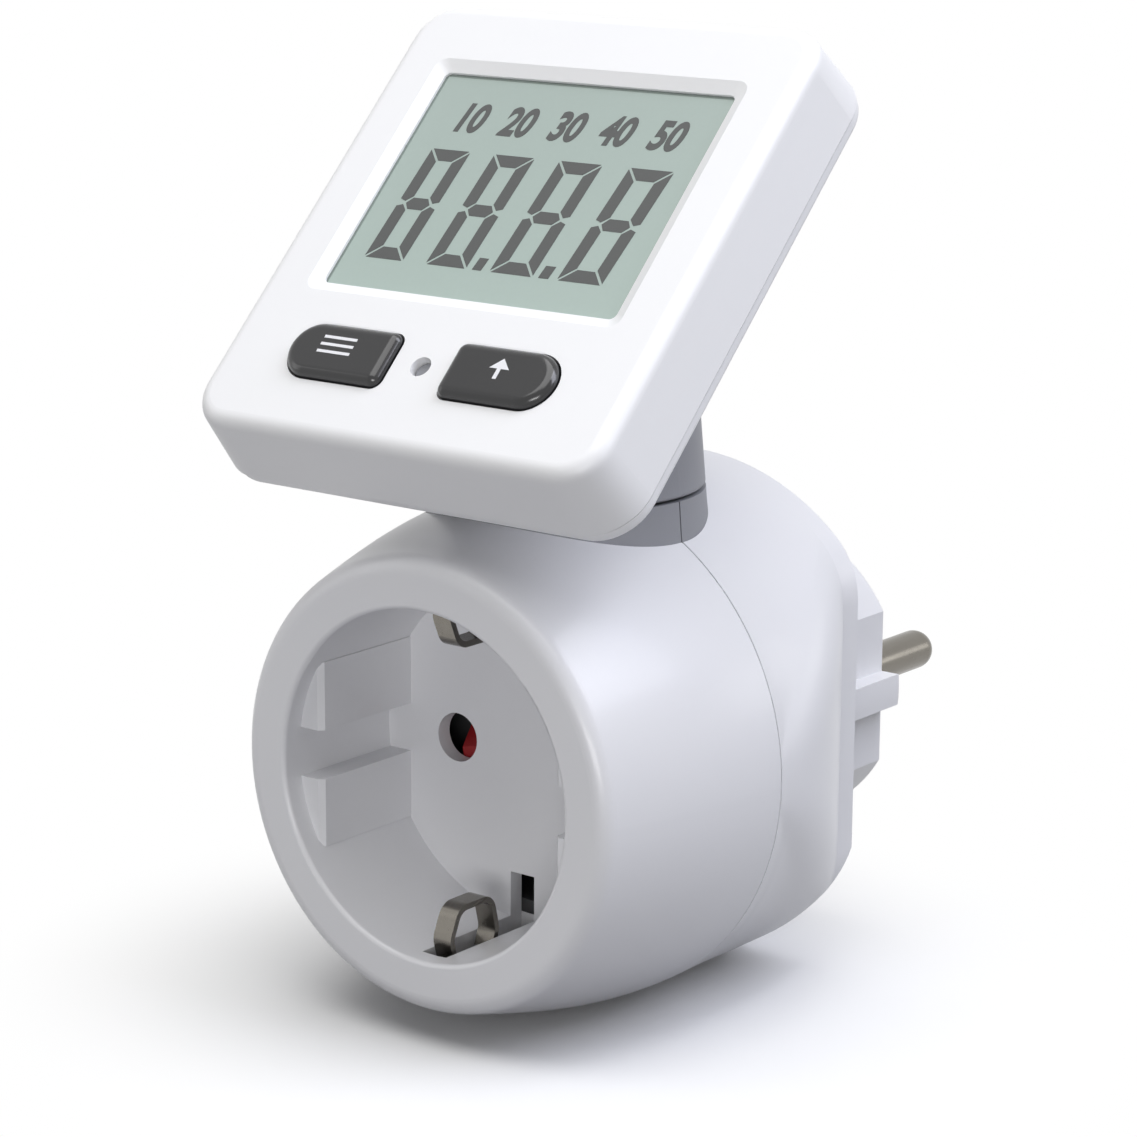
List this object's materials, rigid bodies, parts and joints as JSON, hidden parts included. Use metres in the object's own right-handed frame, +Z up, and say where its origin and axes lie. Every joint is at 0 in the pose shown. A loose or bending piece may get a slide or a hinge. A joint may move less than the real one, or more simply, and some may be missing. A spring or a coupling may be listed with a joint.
{
  "type": "plug-in energy monitor",
  "caption": "Plug-in energy monitor: round adapter with an earthed socket and plug, and a tilted square display head on a swivelling neck with two push buttons.",
  "frame": {"origin": "middle of the flat face of the plug insert, between the two pins", "axes": "+Y along the plug pins, away from the user; +Z up towards the display head; +X to the right seen from the socket side"},
  "size_m": [0.0595, 0.0934, 0.1104],
  "materials": {
    "body_plastic": "glossy white moulded plastic",
    "grey_plastic": "grey moulded plastic",
    "head_plastic": "satin white moulded plastic",
    "charcoal_plastic": "glossy charcoal moulded plastic",
    "dark_plastic": "dark grey moulded plastic",
    "red_plastic": "dark red moulded plastic",
    "nickel": "nickel plated brass",
    "steel": "zinc plated steel",
    "board": "glass fibre circuit board",
    "parts_plastic": "moulded component case",
    "film": "film capacitor case",
    "manganin": "resistance alloy strip",
    "display": "grey-green display glass",
    "rubber": "silicone rubber",
    "cable": "cable sheath"
  },
  "bodies": {
    "body": {"front_shell": "body_plastic", "rear_shell": "body_plastic", "body_screws": "steel", "pin_left": "nickel", "pin_right": "nickel", "earth_clip_top": "nickel", "earth_clip_bottom": "nickel", "shutter_spring": "steel", "contact_carrier": "dark_plastic", "socket_contact_left": "nickel", "socket_contact_right": "nickel", "main_board": "board", "board_screws": "steel", "film_capacitor": "film", "storage_capacitor": "parts_plastic", "shunt_resistor": "manganin", "metering_chip": "parts_plastic", "collar_front": "grey_plastic", "collar_rear": "grey_plastic", "ribbon_cable": "cable"},
    "head": {"neck_post": "grey_plastic", "neck_screws": "steel", "head_front_case": "head_plastic", "head_back_cover": "head_plastic", "cover_screws": "steel", "lcd_panel": "display", "lcd_holder": "parts_plastic", "lcd_connector": "rubber", "display_board": "board", "mode_switch": "parts_plastic", "up_switch": "parts_plastic", "reset_switch": "parts_plastic", "backup_battery": "steel", "battery_clip": "nickel"},
    "mode_button_body": {"mode_button": "charcoal_plastic"},
    "up_button_body": {"up_button": "charcoal_plastic"},
    "reset_button_body": {"reset_button": "grey_plastic"},
    "shutter_body": {"shutter": "red_plastic"}
  },
  "joints": [
    {"name": "head_swivel", "type": "hinge", "parent": "body", "child": "head", "pos_m": [0, -0.0421, 0], "axis": [0, 0, 1], "range_deg": [-90, 90], "deforming": ["ribbon_cable"]},
    {"name": "mode_press", "type": "slide", "parent": "head", "child": "mode_button_body", "axis": [0, 0.7071, -0.7071], "range_m": [0, 0.0006], "stiffness_N_per_m": 2000},
    {"name": "up_press", "type": "slide", "parent": "head", "child": "up_button_body", "axis": [0, 0.7071, -0.7071], "range_m": [0, 0.0006], "stiffness_N_per_m": 2000},
    {"name": "reset_press", "type": "slide", "parent": "head", "child": "reset_button_body", "axis": [0, 0.7071, -0.7071], "range_m": [0, 0.0004], "stiffness_N_per_m": 1500},
    {"name": "shutter_turn", "type": "hinge", "parent": "body", "child": "shutter_body", "pos_m": [0, -0.0453, 0], "axis": [0, -1, 0], "range_deg": [0, 38], "stiffness_Nm_per_rad": 0.01, "deforming": ["shutter_spring"]}
  ]
}
